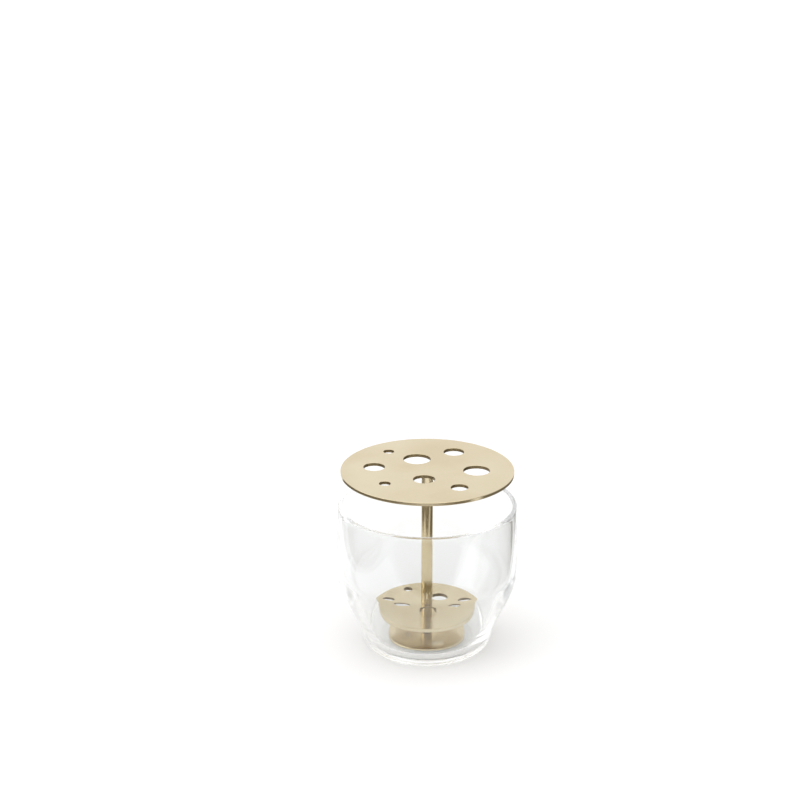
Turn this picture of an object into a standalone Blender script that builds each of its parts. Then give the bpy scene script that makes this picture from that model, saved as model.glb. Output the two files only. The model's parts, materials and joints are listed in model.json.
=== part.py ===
"""Two-tier brass flower frog standing in a round, thick-bottomed glass vase.

Metres, +Z up, origin at the centre of the vase's underside. Stems go down through a hole in the
upper plate and one in the lower plate. The frog is held together on its axis: a stud welded under the
upper plate, a stud through the lower plate and a screw through the foot disc all run into the post,
so the upper plate's face stays plain. It lifts straight out of the vase, and turns in it on the pad
under its foot.
"""
import math

import bmesh
import bpy
from mathutils import Vector
from mathutils.geometry import interpolate_bezier

# Room kept between pieces that touch, and the distance at which doubled points are joined
GAP = 0.0003
MERGE = 0.000001

# Vase, outside
VASE_HEIGHT = 0.1126
VASE_RIM_RADIUS = 0.0652
VASE_BELLY_RADIUS = 0.0662
VASE_BELLY_HEIGHT = 0.0590
VASE_WAIST_RADIUS = 0.0486
VASE_WAIST_HEIGHT = 0.0145
VASE_STANDING_RADIUS = 0.0377
PUNT_RADIUS = 0.0310
PUNT_RISE = 0.0014

# Vase, inside
RIM_WALL = 0.0032
BELLY_WALL = 0.0038
HEEL_RADIUS = 0.0426
HEEL_HEIGHT = 0.0155
FLOOR_RADIUS = 0.0320
FLOOR_HEIGHT = 0.0060

# Frog
PLATE_THICKNESS = 0.0025
PLATE_EDGE_ROUND = 0.0008
UPPER_PLATE_RADIUS = 0.0630
LOWER_PLATE_RADIUS = 0.0390
OVERALL_HEIGHT = 0.1384
LOWER_PLATE_TOP = 0.0310
POST_RADIUS = 0.0042
POST_CHAMFER = 0.0003
FOOT_RADIUS = 0.0290
PAD_RADIUS = 0.0270
PAD_BORE = 0.0060
PAD_THICKNESS = 0.0008

# Fasteners
THREAD_RADIUS = 0.0020
BORE_RADIUS = THREAD_RADIUS + GAP
HEAD_RADIUS = 0.0039
SCREW_REACH = 0.0090
WELD_STUD_REACH = 0.0095
FLANGE_RADIUS = 0.0027
FLANGE_THICKNESS = 0.0008
STUD_REACH_DOWN = 0.0050
STUD_REACH_UP = 0.0080
SOCKET_ACROSS_FLATS = 0.0025
SOCKET_DEPTH = 0.0012

# Stem holes, each as x, y and diameter
UPPER_HOLES = (
    (-0.0281, 0.0364, 0.0078),
    (-0.0074, 0.0212, 0.0200),
    (-0.0386, 0.0056, 0.0155),
    (-0.0306, -0.0265, 0.0082),
    (-0.0025, -0.0183, 0.0158),
    (0.0225, -0.0339, 0.0124),
    (0.0200, 0.0355, 0.0150),
    (0.0356, -0.0016, 0.0192),
)
LOWER_HOLES = (
    (-0.0286, 0.0081, 0.0088),
    (-0.0189, -0.0085, 0.0122),
    (-0.0139, 0.0277, 0.0066),
    (0.0007, -0.0205, 0.0125),
    (0.0211, -0.0125, 0.0092),
    (0.0286, 0.0066, 0.0100),
    (0.0095, 0.0140, 0.0125),
)

# Fineness of the faceting
VASE_SEGMENTS = 48
PLATE_SEGMENTS = 64
FOOT_SEGMENTS = 48
HOLE_SEGMENTS = 20
POST_SEGMENTS = 20
EDGE_STEPS = 2
LIP_STEPS = 6
SMOOTH_ANGLE = math.radians(35)


def finish(name, colour, metallic, roughness, transmission=0.0):
    """A plain material for one sub-part."""
    material = bpy.data.materials.new(name)
    material.use_nodes = True
    surface = material.node_tree.nodes["Principled BSDF"]
    surface.inputs["Base Color"].default_value = (*colour, 1.0)
    surface.inputs["Metallic"].default_value = metallic
    surface.inputs["Roughness"].default_value = roughness
    surface.inputs["Transmission Weight"].default_value = transmission
    return material


def brass(name, roughness=0.22):
    """Pale champagne brass."""
    return finish(name, (0.80, 0.69, 0.47), 1.0, roughness)


def place(name, shape, material, holder):
    """Turn a bmesh into a smooth-shaded object under its holder."""
    mesh = bpy.data.meshes.new(name)
    shape.to_mesh(mesh)
    shape.free()
    mesh.shade_smooth()
    mesh.set_sharp_from_angle(angle=SMOOTH_ANGLE)
    mesh.materials.append(material)
    piece = bpy.data.objects.new(name, mesh)
    bpy.context.scene.collection.objects.link(piece)
    piece.parent = holder
    return piece


def axis_empty(name, holder=None):
    """An empty on the frog's axis, which its moving pieces hang from."""
    empty = bpy.data.objects.new(name, None)
    bpy.context.scene.collection.objects.link(empty)
    empty.empty_display_size = PAD_RADIUS
    empty.parent = holder
    return empty


def turned(outline, segments):
    """Spin an outline of (radius, height) points round Z. It runs from the axis or closes itself."""
    shape = bmesh.new()
    points = [shape.verts.new((radius, 0.0, height)) for radius, height in outline]
    edges = [shape.edges.new(pair) for pair in zip(points, points[1:])]
    bmesh.ops.spin(shape, geom=points + edges, cent=(0, 0, 0), axis=(0, 0, 1),
                   angle=math.tau, steps=segments, use_merge=False)
    bmesh.ops.remove_doubles(shape, verts=shape.verts, dist=MERGE)
    bmesh.ops.recalc_face_normals(shape, faces=shape.faces)
    return shape


def curve(start, start_handle, end_handle, end, steps):
    """Points after the start of a Bezier curve in the outline's plane."""
    ends = [Vector(point) for point in (start, start_handle, end_handle, end)]
    return [tuple(point) for point in interpolate_bezier(*ends, steps + 1)[1:]]


def arc(centre, radius, start, end, steps):
    """Points after the start of a round stretch, with angles in degrees."""
    angles = [math.radians(start + (end - start) * step / steps) for step in range(1, steps + 1)]
    return [(centre[0] + radius * math.cos(a), centre[1] + radius * math.sin(a)) for a in angles]


def vase_outline():
    """The vase's wall, from the middle of its underside round to the middle of its floor."""
    lip = RIM_WALL / 2
    shoulder = VASE_HEIGHT - lip
    inner_belly = VASE_BELLY_RADIUS - BELLY_WALL
    inner_belly_height = VASE_BELLY_HEIGHT + 0.003
    outline = [(0.0, PUNT_RISE)]
    outline += curve((0.0, PUNT_RISE), (0.6 * PUNT_RADIUS, PUNT_RISE), (0.85 * PUNT_RADIUS, 0.0004),
                     (PUNT_RADIUS, 0.0), 3)
    outline += [(VASE_STANDING_RADIUS, 0.0)]
    outline += curve((VASE_STANDING_RADIUS, 0.0), (0.0436, 0.0), (0.0480, 0.0062),
                     (VASE_WAIST_RADIUS, VASE_WAIST_HEIGHT), 7)
    outline += curve((VASE_WAIST_RADIUS, VASE_WAIST_HEIGHT), (0.0535, 0.0270),
                     (VASE_BELLY_RADIUS - 0.0005, 0.0465), (VASE_BELLY_RADIUS, VASE_BELLY_HEIGHT), 9)
    outline += curve((VASE_BELLY_RADIUS, VASE_BELLY_HEIGHT), (VASE_BELLY_RADIUS, 0.0750),
                     (VASE_RIM_RADIUS + 0.0005, 0.0950), (VASE_RIM_RADIUS, shoulder), 3)
    outline += arc((VASE_RIM_RADIUS - lip, shoulder), lip, 0, 180, LIP_STEPS)
    outline += [(inner_belly, inner_belly_height)]
    outline += curve((inner_belly, inner_belly_height), (inner_belly, 0.0505), (0.0495, 0.0315),
                     (HEEL_RADIUS, HEEL_HEIGHT), 8)
    outline += curve((HEEL_RADIUS, HEEL_HEIGHT), (0.0399, 0.0092), (0.0360, FLOOR_HEIGHT),
                     (FLOOR_RADIUS, FLOOR_HEIGHT), 4)
    outline += [(0.0, FLOOR_HEIGHT)]
    return outline


def round_cutter(name, holes, bottom, top, segments, holder):
    """Upright cylinders, one for each (x, y, diameter), joined as one cutter."""
    shape = bmesh.new()
    for x, y, diameter in holes:
        made = bmesh.ops.create_cone(shape, cap_ends=True, segments=segments,
                                     radius1=diameter / 2, radius2=diameter / 2, depth=top - bottom)
        bmesh.ops.translate(shape, verts=made["verts"], vec=(x, y, (top + bottom) / 2))
    cutter = place(name, shape, None, holder)
    cutter.hide_render = True
    cutter.display_type = "WIRE"
    return cutter


def cut(piece, cutter):
    """Take the cutter's shape out of the piece."""
    modifier = piece.modifiers.new(cutter.name, "BOOLEAN")
    modifier.operation = "DIFFERENCE"
    modifier.solver = "EXACT"
    modifier.object = cutter


def disc_outline(radius, bottom, bore=0.0, sink=0.0):
    """A disc with a rounded edge, plain or with a bore that is countersunk from below."""
    top = bottom + PLATE_THICKNESS
    edge = PLATE_EDGE_ROUND
    outline = [(bore + sink, bottom), (radius - edge, bottom)]
    outline += arc((radius - edge, bottom + edge), edge, -90, 0, EDGE_STEPS)
    outline += [(radius, top - edge)]
    outline += arc((radius - edge, top - edge), edge, 0, 90, EDGE_STEPS)
    outline += [(bore, top)]
    outline += [(bore, bottom + sink)] if sink else []
    return outline + outline[:1] if bore else outline


def perforated_plate(name, radius, top, holes, bore, holder):
    """A brass disc with stem holes through it."""
    bottom = top - PLATE_THICKNESS
    plate = place(name, turned(disc_outline(radius, bottom, bore), PLATE_SEGMENTS), brass(name), holder)
    cutter = round_cutter(name + "_holes", holes, bottom - PLATE_THICKNESS, top + PLATE_THICKNESS,
                          HOLE_SEGMENTS, holder)
    cut(plate, cutter)


def post(name, bottom, top, bore_up, bore_down, counterbore, holder):
    """A round post with a blind bore in each end. The top one has a counterbore, (radius, depth)."""
    chamfered = POST_RADIUS - POST_CHAMFER
    mouth, mouth_depth = counterbore
    outline = [
        (0.0, bottom + bore_up),
        (BORE_RADIUS, bottom + bore_up),
        (BORE_RADIUS, bottom),
        (chamfered, bottom),
        (POST_RADIUS, bottom + POST_CHAMFER),
        (POST_RADIUS, top - POST_CHAMFER),
        (chamfered, top),
        (mouth, top),
        (mouth, top - mouth_depth),
        (BORE_RADIUS, top - mouth_depth),
        (BORE_RADIUS, top - bore_down),
        (0.0, top - bore_down),
    ]
    place(name, turned(outline, POST_SEGMENTS), brass(name, 0.15), holder)


def countersunk_screw(name, face, holder):
    """A socket screw whose head is flush with a face above it and whose shank runs up."""
    shoulder = face + HEAD_RADIUS - THREAD_RADIUS
    end = face + PLATE_THICKNESS + SCREW_REACH
    outline = [(0.0, face), (HEAD_RADIUS, face), (THREAD_RADIUS, shoulder), (THREAD_RADIUS, end),
               (0.0, end)]
    screw = place(name, turned(outline, POST_SEGMENTS), brass(name, 0.3), holder)
    across_corners = SOCKET_ACROSS_FLATS / math.cos(math.pi / 6)
    socket = round_cutter(name + "_socket", ((0.0, 0.0, across_corners),), face - SOCKET_DEPTH,
                          face + SOCKET_DEPTH, 6, holder)
    cut(screw, socket)


def main():
    for leftover in list(bpy.data.objects):
        bpy.data.objects.remove(leftover)

    vase_material = finish("clear_glass", (0.96, 0.97, 0.96), 0.0, 0.02, 1.0)
    place("glass_vase", turned(vase_outline(), VASE_SEGMENTS), vase_material, None)

    lifted = axis_empty("frog_lift_axis")
    turning = axis_empty("frog_turn_axis", lifted)

    pad_bottom = FLOOR_HEIGHT + GAP
    pad_top = pad_bottom + PAD_THICKNESS
    pad_outline = [(PAD_BORE, pad_bottom), (PAD_RADIUS, pad_bottom), (PAD_RADIUS, pad_top),
                   (PAD_BORE, pad_top), (PAD_BORE, pad_bottom)]
    pad_material = finish("soft_clear_pad", (0.82, 0.83, 0.82), 0.0, 0.5)
    place("foot_pad", turned(pad_outline, FOOT_SEGMENTS), pad_material, lifted)

    foot_bottom = pad_top + GAP
    foot_top = foot_bottom + PLATE_THICKNESS
    foot_outline = disc_outline(FOOT_RADIUS, foot_bottom, BORE_RADIUS, HEAD_RADIUS - THREAD_RADIUS)
    place("foot_disc", turned(foot_outline, FOOT_SEGMENTS), brass("foot_disc"), turning)
    countersunk_screw("foot_screw", foot_bottom, turning)

    lower_plate_bottom = LOWER_PLATE_TOP - PLATE_THICKNESS
    post("lower_post", foot_top + GAP, lower_plate_bottom - GAP, SCREW_REACH + GAP,
         STUD_REACH_DOWN + GAP, (BORE_RADIUS + GAP, GAP), turning)
    perforated_plate("lower_plate", LOWER_PLATE_RADIUS, LOWER_PLATE_TOP, LOWER_HOLES, BORE_RADIUS,
                     turning)
    stud_bottom = lower_plate_bottom - STUD_REACH_DOWN
    stud_top = LOWER_PLATE_TOP + STUD_REACH_UP
    stud_outline = [(0.0, stud_bottom), (THREAD_RADIUS, stud_bottom), (THREAD_RADIUS, stud_top),
                    (0.0, stud_top)]
    place("joining_stud", turned(stud_outline, POST_SEGMENTS), brass("joining_stud", 0.3), turning)

    upper_plate_bottom = OVERALL_HEIGHT - PLATE_THICKNESS
    flange_seat = (FLANGE_RADIUS + GAP, FLANGE_THICKNESS + GAP)
    post("upper_post", LOWER_PLATE_TOP + GAP, upper_plate_bottom - GAP, STUD_REACH_UP + GAP,
         WELD_STUD_REACH + GAP, flange_seat, turning)
    perforated_plate("upper_plate", UPPER_PLATE_RADIUS, OVERALL_HEIGHT, UPPER_HOLES, 0.0, turning)
    flange_top = upper_plate_bottom - GAP
    flange_bottom = flange_top - FLANGE_THICKNESS
    weld_outline = [(0.0, flange_top), (FLANGE_RADIUS, flange_top), (FLANGE_RADIUS, flange_bottom),
                    (THREAD_RADIUS, flange_bottom), (THREAD_RADIUS, flange_top - WELD_STUD_REACH),
                    (0.0, flange_top - WELD_STUD_REACH)]
    place("weld_stud", turned(weld_outline, POST_SEGMENTS), brass("weld_stud", 0.3), turning)


main()
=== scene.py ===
"""Looks of a round glass vase and the brass flower frog that stands in it.

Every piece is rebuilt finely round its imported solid: the vase and the frog's round pieces are
turned outlines, the two plates are perforated sheets, and the screws get real threads.
"""
import json
import math

import bmesh
import bpy
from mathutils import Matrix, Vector
from mathutils.geometry import interpolate_bezier


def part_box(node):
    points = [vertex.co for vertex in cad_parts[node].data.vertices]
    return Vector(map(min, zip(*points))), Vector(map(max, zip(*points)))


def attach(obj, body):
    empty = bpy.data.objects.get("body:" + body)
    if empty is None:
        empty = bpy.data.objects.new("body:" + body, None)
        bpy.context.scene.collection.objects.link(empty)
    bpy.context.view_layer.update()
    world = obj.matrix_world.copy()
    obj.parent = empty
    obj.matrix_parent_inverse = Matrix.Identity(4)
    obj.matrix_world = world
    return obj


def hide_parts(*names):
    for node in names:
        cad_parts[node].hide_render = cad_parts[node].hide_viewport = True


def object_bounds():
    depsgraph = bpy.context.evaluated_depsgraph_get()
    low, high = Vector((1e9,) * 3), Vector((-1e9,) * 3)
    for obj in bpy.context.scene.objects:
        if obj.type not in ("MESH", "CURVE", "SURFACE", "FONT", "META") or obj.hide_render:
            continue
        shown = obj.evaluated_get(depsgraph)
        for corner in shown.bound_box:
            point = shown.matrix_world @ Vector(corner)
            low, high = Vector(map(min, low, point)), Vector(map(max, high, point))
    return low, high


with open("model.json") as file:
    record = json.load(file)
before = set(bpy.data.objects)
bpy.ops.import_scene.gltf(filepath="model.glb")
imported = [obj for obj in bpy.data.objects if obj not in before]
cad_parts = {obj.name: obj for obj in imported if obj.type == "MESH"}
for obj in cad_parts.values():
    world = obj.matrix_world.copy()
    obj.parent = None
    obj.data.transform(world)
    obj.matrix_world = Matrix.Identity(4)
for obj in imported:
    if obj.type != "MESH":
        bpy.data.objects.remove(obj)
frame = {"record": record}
cad_low, cad_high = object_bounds()

MERGE = 0.0000005

# Fineness of the round pieces
VASE_SIDES = 192
PLATE_SIDES = 256
HOLE_SIDES = 96
POST_SIDES = 96
THREAD_SIDES = 48

# Camera
CAMERA_DISTANCE = 1.568
CAMERA_PITCH = math.radians(19.92)
CAMERA_TARGET = Vector((-0.0198, 0.0, 0.1920))
CAMERA_LENS_MM = 98.6
SENSOR_MM = 36.0


# ---------------------------------------------------------------- node sums

class Wire:
    """A socket of a node tree that can be used in Python sums. Each operator adds a node."""

    def __init__(self, tree, socket=None):
        self.tree = tree
        self.socket = socket

    def add(self, kind, settings=None, sockets=None, output=0):
        """Adds a node: its settings first, then the values or links of its sockets."""
        node = self.tree.nodes.new(kind)
        for name, value in (settings or {}).items():
            setattr(node, name, value)
        for name, value in (sockets or {}).items():
            wires = value if isinstance(value, list) else [value]
            for wire in wires:
                if isinstance(wire, Wire):
                    self.tree.links.new(wire.socket, node.inputs[name])
                else:
                    node.inputs[name].default_value = wire
        return Wire(self.tree, node.outputs[output])

    def output(self, name):
        """Another output of the node that this wire comes from."""
        return Wire(self.tree, self.socket.node.outputs[name])

    def maths(self, operation, *values):
        return self.add("ShaderNodeMath", {"operation": operation}, dict(enumerate(values)))

    def __add__(self, other):
        return self.maths("ADD", self, other)

    __radd__ = __add__

    def __mul__(self, other):
        return self.maths("MULTIPLY", self, other)

    __rmul__ = __mul__

    def root(self):
        return self.maths("SQRT", self)

    def step(self, low, high, to_low=0.0, to_high=1.0):
        """Rises smoothly from to_low to to_high while this goes from low to high."""
        span = {"Value": self, "From Min": low, "From Max": high, "To Min": to_low, "To Max": to_high}
        return self.add("ShaderNodeMapRange", {"interpolation_type": "SMOOTHSTEP"}, span)


# ---------------------------------------------------------------- materials

MIX_FACTOR, MIX_A, MIX_B = 0, 6, 7


class Finish(Wire):
    """A material with one Principled surface, whose sockets are set by name."""

    def __init__(self, name, **constants):
        self.material = bpy.data.materials.new(name)
        self.material.use_nodes = True
        super().__init__(self.material.node_tree)
        self.surface = self.tree.nodes["Principled BSDF"]
        for socket, value in constants.items():
            self.surface.inputs[socket.replace("_", " ")].default_value = value

    def set(self, socket, wire):
        self.tree.links.new(wire.socket, self.surface.inputs[socket])

    def place(self):
        """The x, y and z of the point that is shaded, in the piece's own frame."""
        point = self.add("ShaderNodeTexCoord", output="Object")
        split = self.add("ShaderNodeSeparateXYZ", sockets={"Vector": point})
        return point, split, split.output("Y"), split.output("Z")

    def clouds(self, vector, scale, detail=2.0, roughness=0.5):
        """Soft noise from 0 to 1 over a vector."""
        sockets = {"Vector": vector, "Scale": scale, "Detail": detail, "Roughness": roughness}
        return self.add("ShaderNodeTexNoise", sockets=sockets)

    def rings(self, distance, scale, detail=3.0):
        """Noise from 0 to 1 that varies along one number only."""
        sockets = {"W": distance, "Scale": scale, "Detail": detail}
        return self.add("ShaderNodeTexNoise", {"noise_dimensions": "1D"}, sockets)

    def blend(self, factor, low, high):
        """A colour between two colours or wires."""
        low, high = (end if isinstance(end, Wire) else (*end, 1.0) for end in (low, high))
        sockets = {MIX_FACTOR: factor, MIX_A: low, MIX_B: high}
        return self.add("ShaderNodeMix", {"data_type": "RGBA"}, sockets, output=2)

    def relief(self, height, strength, depth):
        """Bump from a height, as a normal."""
        sockets = {"Height": height, "Strength": strength, "Distance": depth}
        return self.add("ShaderNodeBump", sockets=sockets)


def let_light_through(glass):
    """Light that falls on what stands behind the glass goes straight through it."""
    ray = glass.add("ShaderNodeLightPath", output="Is Shadow Ray")
    clear = glass.add("ShaderNodeBsdfTransparent", sockets={"Color": (0.98, 0.98, 0.98, 1.0)})
    seen = Wire(glass.tree, glass.surface.outputs[0])
    for passing in (ray, ray.output("Is Diffuse Ray")):
        seen = glass.add("ShaderNodeMixShader", sockets={0: passing, 1: seen, 2: clear})
    leave = glass.tree.nodes["Material Output"]
    glass.tree.links.new(seen.socket, leave.inputs["Surface"])


def clear_glass():
    """Colourless polished glass: faint waves from the mould, handling haze, a ground foot ring."""
    glass = Finish("clear glass", Transmission_Weight=1.0, IOR=1.5)
    point, x, y, z = glass.place()
    tint = glass.clouds(point, 30.0)
    glass.set("Base Color", glass.blend(tint, (0.932, 0.940, 0.938), (0.958, 0.964, 0.962)))
    haze = glass.clouds(point, 55.0, detail=4.0).step(0.52, 0.75, 0.0, 0.02)
    ground_foot = z.step(0.0, 0.0002, 0.15, 0.0)
    glass.set("Roughness", haze + ground_foot)
    waves = glass.clouds(point, 26.0, detail=1.0)
    glass.set("Normal", glass.relief(waves, 0.08, 0.0006))
    let_light_through(glass)
    return glass.material


def turned_brass(name, base_roughness, grain_depth, hole_walls_within=0.0):
    """Pale champagne brass, faced on a lathe: fine rings round the axis under a satin polish.

    Upright faces inside the radius given last are hole walls: rougher, as cut and not polished, and
    darkened with painted shade, a dark brown colour.
    """
    brass = Finish(name, Metallic=1.0)
    point, x, y, z = brass.place()
    radius = (x * x + y * y).root()
    drift = brass.clouds(point, 18.0)
    wander = radius + z + drift * 0.0006
    coarse = brass.rings(wander, 900.0)
    fine = brass.rings(wander, 5200.0)
    grain = coarse * 0.4 + fine * 0.6
    tone = brass.clouds(point, 15.0, detail=3.0).step(0.32, 0.68) * 0.75 + grain * 0.25
    normal = brass.add("ShaderNodeTexCoord", output="Normal")
    upward = brass.add("ShaderNodeSeparateXYZ", sockets={"Vector": normal}, output=2)
    upright = (upward * upward).step(0.15, 0.6, 1.0, 0.0)
    # Hole walls: a rougher cut finish, and painted shade in the colour.
    rough_shaded_wall = upright * radius.step(hole_walls_within - 0.0012, hole_walls_within - 0.0008, 1.0, 0.0)
    shine = brass.blend(tone, (0.620, 0.515, 0.325), (0.720, 0.630, 0.445))
    # Painted shade: the hole walls get a dark brown colour in place of the brass.
    brass.set("Base Color", brass.blend(rough_shaded_wall, shine, (0.26, 0.20, 0.11)))
    touched = brass.clouds(point, 60.0, detail=5.0, roughness=0.6).step(0.5, 0.8, 0.0, 0.12)
    brass.set("Roughness", touched + grain * 0.10 + rough_shaded_wall * 0.25 + base_roughness)
    brass.set("Normal", brass.relief(grain, 0.3, grain_depth))
    return brass.material


def soft_pad():
    """Translucent matt silicone with a fine moulded texture."""
    pad = Finish("soft clear pad", Transmission_Weight=0.0, Specular_IOR_Level=0.35)
    point, x, y, z = pad.place()
    cloud = pad.clouds(point, 90.0, detail=3.0)
    pad.set("Base Color", pad.blend(cloud, (0.72, 0.735, 0.72), (0.80, 0.81, 0.80)))
    speck = pad.clouds(point, 1800.0)
    pad.set("Roughness", speck * 0.15 + 0.45)
    pad.set("Normal", pad.relief(speck, 0.2, 0.00005))
    return pad.material


# ---------------------------------------------------------------- outlines and turned pieces

def bezier(start, start_handle, end_handle, end, steps):
    """Points after the start of a Bezier curve in the outline's plane."""
    ends = [Vector(point) for point in (start, start_handle, end_handle, end)]
    return [tuple(point) for point in interpolate_bezier(*ends, steps + 1)[1:]]


def arc(centre, radius, start, end, steps):
    """Points after the start of a round stretch, with angles in degrees."""
    angles = [math.radians(start + (end - start) * step / steps) for step in range(1, steps + 1)]
    return [(centre[0] + radius * math.cos(a), centre[1] + radius * math.sin(a)) for a in angles]


def eased(corners, closed=False, steps=5):
    """An outline through corners of (radius, height, rounding)."""
    outline = []
    count = len(corners)
    for index, (radius, height, rounding) in enumerate(corners):
        here = Vector((radius, height))
        if rounding == 0.0:
            outline.append(tuple(here))
            continue
        back = Vector(corners[index - 1][:2]) - here
        on = Vector(corners[(index + 1) % count][:2]) - here
        half = back.angle(on) / 2
        reach = min(rounding / math.tan(half), 0.45 * back.length, 0.45 * on.length)
        start = here + back.normalized() * reach
        end = here + on.normalized() * reach
        pull = 4 / 3 * math.tan((math.pi / 2 - half) / 2) * math.tan(half)
        outline.append(tuple(start))
        outline += bezier(start, start.lerp(here, pull), end.lerp(here, pull), end, steps)
    return outline + outline[:1] if closed else outline


def turned(name, outline, sides, finish, sharp=math.radians(40)):
    """Spins an outline of (radius, height) points round Z into one closed, smooth piece."""
    shape = bmesh.new()
    points = [shape.verts.new((radius, 0.0, height)) for radius, height in outline]
    edges = [shape.edges.new(pair) for pair in zip(points, points[1:])]
    bmesh.ops.spin(shape, geom=points + edges, cent=(0, 0, 0), axis=(0, 0, 1),
                   angle=math.tau, steps=sides, use_merge=False)
    bmesh.ops.remove_doubles(shape, verts=shape.verts, dist=MERGE)
    bmesh.ops.recalc_face_normals(shape, faces=shape.faces)
    return put(name, shape, finish, sharp)


def put(name, shape, finish, sharp=math.radians(40)):
    """Turns a bmesh into a smooth-shaded piece."""
    mesh = bpy.data.meshes.new(name)
    shape.to_mesh(mesh)
    shape.free()
    mesh.shade_smooth()
    mesh.set_sharp_from_angle(angle=sharp)
    mesh.materials.append(finish)
    piece = bpy.data.objects.new(name, mesh)
    bpy.context.scene.collection.objects.link(piece)
    return piece


def stand_for(piece, node, body):
    """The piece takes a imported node's place on its body."""
    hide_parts(node)
    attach(piece, body)
    return piece


# ---------------------------------------------------------------- vase

def vase(finish):
    """Thick-bottomed vase: punt, standing ring, heel, tapered bowl, upright wall, rounded lip."""
    low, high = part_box("glass_vase")
    belly, height = high.x, high.z
    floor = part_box("foot_pad")[0].z - 0.0003
    standing, punt, punt_rise = 0.0377, 0.0310, 0.0014
    rim, wall = belly - 0.0010, 0.0032
    lip = wall / 2
    belly_height, inner_belly = 0.0590, belly - 0.0038
    inner_top = belly_height + 0.003
    outline = [(0.0, punt_rise)]
    outline += bezier((0.0, punt_rise), (0.6 * punt, punt_rise), (0.85 * punt, 0.0004),
                      (punt, 0.0), 12)
    outline += bezier((punt, 0.0), (punt + 0.002, 0.0), (standing - 0.002, 0.0), (standing, 0.0), 3)
    outline += bezier((standing, 0.0), (0.0436, 0.0), (0.0475, 0.0055), (0.0483, 0.0115), 16)
    outline += bezier((0.0483, 0.0115), (0.0486, 0.0138), (0.0493, 0.0160), (0.0501, 0.0182), 8)
    outline += bezier((0.0501, 0.0182), (0.0546, 0.0295), (belly - 0.0005, 0.0468),
                      (belly, belly_height), 30)
    outline += bezier((belly, belly_height), (belly, 0.0750), (belly - 0.0005, 0.0950),
                      (rim, height - lip), 16)
    outline += arc((rim - lip, height - lip), lip, 0, 180, 12)
    outline += bezier((rim - wall, height - lip), (rim - wall, 0.0950), (inner_belly, 0.0750),
                      (inner_belly, inner_top), 12)
    outline += bezier((inner_belly, inner_top), (inner_belly, 0.0505), (0.0495, 0.0315),
                      (0.0426, 0.0155), 30)
    outline += bezier((0.0426, 0.0155), (0.0399, 0.0092), (0.0360, floor), (0.0320, floor), 14)
    outline += [(0.0200, floor), (0.0, floor)]
    piece = turned("glass_vase_clear", outline, VASE_SIDES, finish, math.radians(60))
    return stand_for(piece, "glass_vase", "vase")


# ---------------------------------------------------------------- perforated plates

def plate_tree():
    """Geometry nodes that turn hole centres into a plate with those holes through it."""
    tree = bpy.data.node_groups.new("perforated plate", "GeometryNodeTree")
    tree.interface.new_socket("Geometry", in_out="OUTPUT", socket_type="NodeSocketGeometry")
    inputs = (("Hole centres", "Geometry"), ("Plate radius", "Float"), ("Underside", "Float"),
              ("Thickness", "Float"), ("Rim sides", "Int"), ("Hole sides", "Int"),
              ("Finish", "Material"))
    for name, kind in inputs:
        tree.interface.new_socket(name, in_out="INPUT", socket_type="NodeSocket" + kind)
    wire = Wire(tree)
    given = wire.add("NodeGroupInput")
    size = wire.add("GeometryNodeInputNamedAttribute", {"data_type": "FLOAT"}, {"Name": "hole_radius"})
    circle = wire.add("GeometryNodeCurvePrimitiveCircle",
                      sockets={"Resolution": given.output("Hole sides"), "Radius": 1.0})
    scattered = wire.add("GeometryNodeInstanceOnPoints",
                         sockets={"Points": given, "Instance": circle, "Scale": size})
    holes = wire.add("GeometryNodeRealizeInstances", sockets={"Geometry": scattered})
    rim = wire.add("GeometryNodeCurvePrimitiveCircle", sockets={
        "Resolution": given.output("Rim sides"), "Radius": given.output("Plate radius")})
    lines = wire.add("GeometryNodeJoinGeometry", sockets={"Geometry": [holes, rim]})
    sheet = wire.add("GeometryNodeFillCurve", {"mode": "NGONS"}, {"Curve": lines})
    thickness = given.output("Thickness")
    slab = wire.add("GeometryNodeExtrudeMesh", sockets={
        "Mesh": sheet, "Offset": (0.0, 0.0, 1.0), "Offset Scale": thickness, "Individual": False})
    underside = wire.add("GeometryNodeFlipFaces", sockets={"Mesh": sheet})
    both = wire.add("GeometryNodeJoinGeometry", sockets={"Geometry": [slab, underside]})
    closed = wire.add("GeometryNodeMergeByDistance", sockets={"Geometry": both, "Distance": MERGE})
    lift = wire.add("ShaderNodeCombineXYZ", sockets={"Z": given.output("Underside")})
    lifted = wire.add("GeometryNodeTransform", sockets={"Geometry": closed, "Translation": lift})
    real = wire.add("GeometryNodeRealizeInstances", sockets={"Geometry": lifted})
    done = wire.add("GeometryNodeSetMaterial", sockets={
        "Geometry": real, "Material": given.output("Finish")})
    leave = tree.nodes.new("NodeGroupOutput")
    tree.links.new(done.socket, leave.inputs["Geometry"])
    return tree


def hole_list(prefix):
    """(x, y, radius) of the stem holes whose openings' names start so. A box is 0.68 of a hole."""
    found = []
    for opening in frame["record"]["physics"]["openings"]:
        if opening["name"].startswith(prefix):
            (x0, y0, _), (x1, y1, _) = opening["box_m"]
            found.append(((x0 + x1) / 2, (y0 + y1) / 2, (x1 - x0) / 0.68 / 2))
    return found


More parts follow.
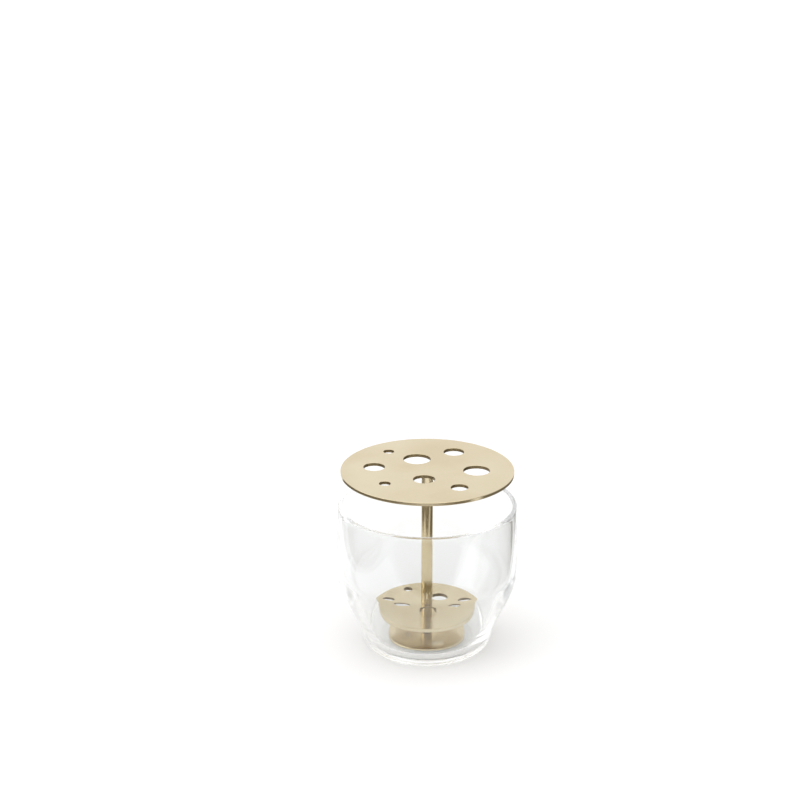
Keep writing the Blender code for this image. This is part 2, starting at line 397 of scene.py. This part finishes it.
def perforated_plate(node, holes, tree, finish):
    """A plate with its holes, its rim and the holes' edges eased."""
    low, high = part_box(node)
    mesh = bpy.data.meshes.new(node + "_centres")
    mesh.from_pydata([(x, y, 0.0) for x, y, radius in holes], [], [])
    sizes = mesh.attributes.new("hole_radius", "FLOAT", "POINT")
    sizes.data.foreach_set("value", [radius for x, y, radius in holes])
    seed = bpy.data.objects.new(node + "_centres", mesh)
    bpy.context.scene.collection.objects.link(seed)
    values = {"Plate radius": high.x, "Underside": low.z, "Thickness": high.z - low.z,
              "Rim sides": PLATE_SIDES, "Hole sides": HOLE_SIDES, "Finish": finish}
    modifier = seed.modifiers.new("plate", "NODES")
    modifier.node_group = tree
    for item in tree.interface.items_tree:
        if item.in_out == "INPUT" and item.name in values:
            modifier[item.identifier] = values[item.name]
    evaluated = seed.evaluated_get(bpy.context.evaluated_depsgraph_get())
    made = bpy.data.meshes.new_from_object(evaluated)
    bpy.data.objects.remove(seed)
    made.shade_smooth()
    piece = bpy.data.objects.new(node + "_brass", made)
    bpy.context.scene.collection.objects.link(piece)
    edge = piece.modifiers.new("eased edges", "BEVEL")
    edge.width = 0.0006
    edge.segments = 4
    edge.limit_method = "ANGLE"
    edge.angle_limit = math.radians(60)
    edge.harden_normals = True
    return stand_for(piece, node, "frog")


# ---------------------------------------------------------------- posts, foot and fasteners

GAP = 0.0003
BORE = 0.0023
SOFT, CRISP = 0.0004, 0.00012
THREAD_PITCH = 0.0007
THREAD_DEPTH = 0.00035
ROWS_PER_TURN = 8
SOCKET_HALF_WIDTH = 0.00125
SOCKET_DEPTH = 0.0012
FLANGE_THICKNESS = 0.0008


def post(node, below, above, counterbore, finish):
    """A turned post: eased ends, a blind bore in each, and a (radius, depth) counterbore on top."""
    low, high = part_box(node)
    bore_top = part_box(below)[1].z + GAP
    bore_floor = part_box(above)[0].z - GAP
    mouth, depth = counterbore
    corners = [(0.0, bore_top, 0.0), (BORE, bore_top, 0.0), (BORE, low.z, CRISP),
               (high.x, low.z, SOFT), (high.x, high.z, SOFT), (mouth, high.z, 0.0),
               (mouth, high.z - depth, 0.0), (BORE, high.z - depth, 0.0),
               (BORE, bore_floor, 0.0), (0.0, bore_floor, 0.0)]
    piece = turned(node + "_brass", eased(corners), POST_SIDES, finish)
    return stand_for(piece, node, "frog")


def foot_disc(finish):
    """The disc that the frog stands on, countersunk from below."""
    low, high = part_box("foot_disc")
    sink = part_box("foot_screw")[1].x + GAP
    round_edge = 0.0008
    corners = [(sink, low.z, CRISP), (high.x, low.z, round_edge), (high.x, high.z, round_edge),
               (BORE, high.z, CRISP), (BORE, low.z + sink - BORE, CRISP)]
    piece = turned("foot_disc_brass", eased(corners, closed=True), PLATE_SIDES, finish)
    return stand_for(piece, "foot_disc", "frog")


def foot_pad(finish):
    """The soft ring between the foot disc and the glass."""
    low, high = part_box("foot_pad")
    bore, edge = 0.0060, 0.0002
    corners = [(bore, low.z, edge), (high.x, low.z, edge), (high.x, high.z, edge),
               (bore, high.z, edge)]
    piece = turned("foot_pad_soft", eased(corners, closed=True), PLATE_SIDES, finish)
    return stand_for(piece, "foot_pad", "pad")


def lofted(name, rings, finish):
    """Skins rings of (radius by angle, height), closed by a pole at each end."""
    shape = bmesh.new()
    angles = [math.tau * side / THREAD_SIDES for side in range(THREAD_SIDES)]
    rows = []
    for radius, height in rings:
        if radius is None:
            rows.append([shape.verts.new((0.0, 0.0, height))])
            continue
        reach = [radius(angle, height) for angle in angles]
        rows.append([shape.verts.new((r * math.cos(a), r * math.sin(a), height))
                     for r, a in zip(reach, angles)])
    for low, high in zip(rows, rows[1:]):
        for side in range(THREAD_SIDES):
            corners = [low[side % len(low)], low[(side + 1) % len(low)],
                       high[(side + 1) % len(high)], high[side % len(high)]]
            shape.faces.new(list(dict.fromkeys(corners)))
    bmesh.ops.recalc_face_normals(shape, faces=shape.faces)
    return put(name, shape, finish, math.radians(50))


def plain(radius):
    return lambda angle, height: radius


def hexagon(half_width):
    """Radius of a hexagon of that half width across its flats."""
    sixth = math.pi / 3
    return lambda angle, height: half_width / math.cos((angle + sixth / 2) % sixth - sixth / 2)


def thread(radius):
    """Radius of a single-start V thread."""
    def reach(angle, height):
        turn = (height / THREAD_PITCH - angle / math.tau) % 1.0
        return radius - THREAD_DEPTH * abs(2 * turn - 1)
    return reach


def thread_rings(start, end, radius):
    """Rings along a threaded length, with its first and last turn run out to a plain end."""
    root = radius - THREAD_DEPTH
    rows = round((end - start) / THREAD_PITCH * ROWS_PER_TURN)
    rings = [(thread(radius), start + (end - start) * row / rows) for row in range(1, rows)]
    return rings + [(plain(root), end)]


def foot_screw(finish):
    """A socket screw, its head flush with the foot's underside and its thread running up."""
    low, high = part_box("foot_screw")
    head, shank, face = high.x, 0.0020, low.z
    rings = [
        (None, face + SOCKET_DEPTH + 0.0003),
        (hexagon(SOCKET_HALF_WIDTH), face + SOCKET_DEPTH),
        (hexagon(SOCKET_HALF_WIDTH), face + CRISP),
        (hexagon(SOCKET_HALF_WIDTH + CRISP), face),
        (plain(head - CRISP), face),
        (plain(head), face + CRISP),
        (plain(shank), face + head - shank + CRISP),
    ]
    rings += thread_rings(rings[-1][1] + 0.0002, high.z, shank) + [(None, high.z)]
    piece = lofted("foot_screw_brass", rings, finish)
    return stand_for(piece, "foot_screw", "frog")


def joining_stud(finish):
    """The threaded stud through the lower plate, which joins the two posts."""
    low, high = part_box("joining_stud")
    root = high.x - THREAD_DEPTH
    rings = [(None, low.z), (plain(root), low.z)]
    rings += thread_rings(low.z + 0.0002, high.z, high.x) + [(None, high.z)]
    piece = lofted("joining_stud_brass", rings, finish)
    return stand_for(piece, "joining_stud", "frog")


def weld_stud(finish):
    """The stud under the upper plate: a thin round flange at its welded end, then thread."""
    low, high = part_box("weld_stud")
    shank = 0.0020
    rings = [(None, low.z), (plain(shank - THREAD_DEPTH), low.z)]
    rings += thread_rings(low.z + 0.0002, high.z - FLANGE_THICKNESS - THREAD_PITCH, shank)
    rings += [(plain(shank), high.z - FLANGE_THICKNESS - CRISP),
              (plain(high.x - CRISP), high.z - FLANGE_THICKNESS),
              (plain(high.x), high.z - FLANGE_THICKNESS + CRISP), (plain(high.x), high.z),
              (None, high.z)]
    piece = lofted("weld_stud_brass", rings, finish)
    return stand_for(piece, "weld_stud", "frog")


# ---------------------------------------------------------------- floor, light and camera

def floor():
    """A wide pale floor just under the vase, lifted to white where the lights no longer reach."""
    half = 6.0
    mesh = bpy.data.meshes.new("floor")
    mesh.from_pydata([(-half, -half, 0), (half, -half, 0), (half, half, 0), (-half, half, 0)],
                     [], [(0, 1, 2, 3)])
    plane = bpy.data.objects.new("floor", mesh)
    plane.location.z = -0.00005
    bpy.context.scene.collection.objects.link(plane)
    pale = Finish("pale floor", Roughness=0.9, Specular_IOR_Level=0.2, Emission_Strength=1.0)
    point, x, y, z = pale.place()
    pale.set("Base Color", pale.blend(pale.clouds(point, 3.0), (0.90, 0.90, 0.90), (0.92, 0.92, 0.92)))
    lift = (x * x + y * y).root().step(0.5, 2.2, 0.0, 0.42)
    pale.set("Emission Color", pale.add("ShaderNodeCombineColor", sockets={
        "Red": lift, "Green": lift, "Blue": lift}))
    mesh.materials.append(pale.material)


def softbox(name, place, aim, width, height, power):
    """A rectangular area light that faces a point."""
    light = bpy.data.lights.new(name, "AREA")
    light.shape = "RECTANGLE"
    light.size = width
    light.size_y = height
    light.energy = power
    lamp = bpy.data.objects.new(name, light)
    lamp.location = place
    lamp.rotation_euler = (Vector(aim) - Vector(place)).to_track_quat("-Z", "Y").to_euler()
    bpy.context.scene.collection.objects.link(lamp)


def dark_card(name, x, y, width, depth):
    """A dark card flat on the floor that only mirror images show, as if it were out of view."""
    mesh = bpy.data.meshes.new(name)
    half_x, half_y = width / 2, depth / 2
    mesh.from_pydata([(-half_x, -half_y, 0), (half_x, -half_y, 0), (half_x, half_y, 0),
                      (-half_x, half_y, 0)], [], [(0, 1, 2, 3)])
    card = bpy.data.objects.new(name, mesh)
    card.location = (x, y, 0.001)
    bpy.context.scene.collection.objects.link(card)
    dark = Finish(name, Roughness=1.0, Specular_IOR_Level=0.0)
    point = dark.place()[0]
    cloud = dark.clouds(point, 3.0)
    dark.set("Base Color", dark.blend(cloud, (0.16, 0.14, 0.11), (0.18, 0.16, 0.13)))
    mirrors = dark.add("ShaderNodeLightPath", output="Glossy Depth")
    clear = dark.add("ShaderNodeBsdfTransparent")
    mirrored = dark.add("ShaderNodeMixShader", sockets={
        0: mirrors.maths("GREATER_THAN", mirrors, 0.5), 1: clear,
        2: Wire(dark.tree, dark.surface.outputs[0])})
    dark.tree.links.new(mirrored.socket, dark.tree.nodes["Material Output"].inputs["Surface"])
    mesh.materials.append(dark.material)
    card.visible_camera = card.visible_diffuse = card.visible_shadow = False


def studio():
    """A white room, dimmer in front, to the right and overhead, and dark cards on the floor."""
    world = bpy.data.worlds.new("studio")
    world.use_nodes = True
    bpy.context.scene.world = world
    sky = Wire(world.node_tree)
    direction = sky.add("ShaderNodeTexCoord", output="Generated")
    split = sky.add("ShaderNodeSeparateXYZ", sockets={"Vector": direction})
    toward_back = split.output("Y") + split * -0.3
    overhead = split.output("Z").step(0.3, 0.9, 1.0, 0.72)
    glow = toward_back.step(-0.6, 0.5, 0.45, 1.10) * overhead
    grey = sky.add("ShaderNodeCombineColor", sockets={"Red": glow, "Green": glow, "Blue": glow})
    sky.tree.links.new(grey.socket, sky.tree.nodes["Background"].inputs["Color"])
    sky.tree.nodes["Background"].inputs["Strength"].default_value = 1.0
    middle = (cad_low + cad_high) / 2
    softbox("window_light", (-1.7, -0.3, 0.9), middle, 1.8, 1.8, 11.0)
    softbox("overhead_light", (0.1, -0.65, 2.1), middle, 3.0, 3.0, 42.0)
    dark_card("front_card", 0.20, -0.305, 2.1, 0.18)
    dark_card("right_card", 0.62, 0.25, 0.9, 0.78)
    dark_card("left_card", -0.60, 0.15, 0.75, 0.95)


def deepen_light_paths():
    """Lets light bounce often enough to come out of the thick glass again."""
    paths = bpy.context.scene.cycles
    paths.max_bounces = 96
    paths.glossy_bounces = 96
    paths.transmission_bounces = 96
    paths.transparent_max_bounces = 64


def camera():
    data = bpy.data.cameras.new("camera")
    data.sensor_width = SENSOR_MM
    data.lens = CAMERA_LENS_MM
    data.clip_start = 0.05
    data.clip_end = 50.0
    eye = bpy.data.objects.new("camera", data)
    back = Vector((0.0, -math.cos(CAMERA_PITCH), math.sin(CAMERA_PITCH)))
    eye.location = CAMERA_TARGET + back * CAMERA_DISTANCE
    eye.rotation_euler = (-back).to_track_quat("-Z", "Y").to_euler()
    bpy.context.scene.collection.objects.link(eye)
    bpy.context.scene.camera = eye


# ---------------------------------------------------------------- assembly

camera()
studio()
floor()
bpy.context.scene.view_settings.view_transform = "Standard"
deepen_light_paths()

upper_brass = turned_brass("satin turned brass", 0.10, 0.00006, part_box("upper_plate")[1].x)
lower_brass = turned_brass("lower satin turned brass", 0.10, 0.00006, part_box("lower_plate")[1].x)
foot_brass = turned_brass("foot satin turned brass", 0.12, 0.00006)
post_brass = turned_brass("polished brass", 0.10, 0.00003)
screw_brass = turned_brass("screw brass", 0.24, 0.00004)

vase(clear_glass())
perforations = plate_tree()
perforated_plate("upper_plate", hole_list("upper_stem_hole"), perforations, upper_brass)
perforated_plate("lower_plate", hole_list("lower_stem_hole") + [(0.0, 0.0, BORE)], perforations,
                 lower_brass)
flange_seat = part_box("weld_stud")[1].x + GAP, FLANGE_THICKNESS + GAP
post("upper_post", "joining_stud", "weld_stud", flange_seat, post_brass)
post("lower_post", "foot_screw", "joining_stud", (BORE + GAP, GAP), post_brass)
foot_disc(foot_brass)
foot_pad(soft_pad())
foot_screw(screw_brass)
joining_stud(screw_brass)
weld_stud(screw_brass)
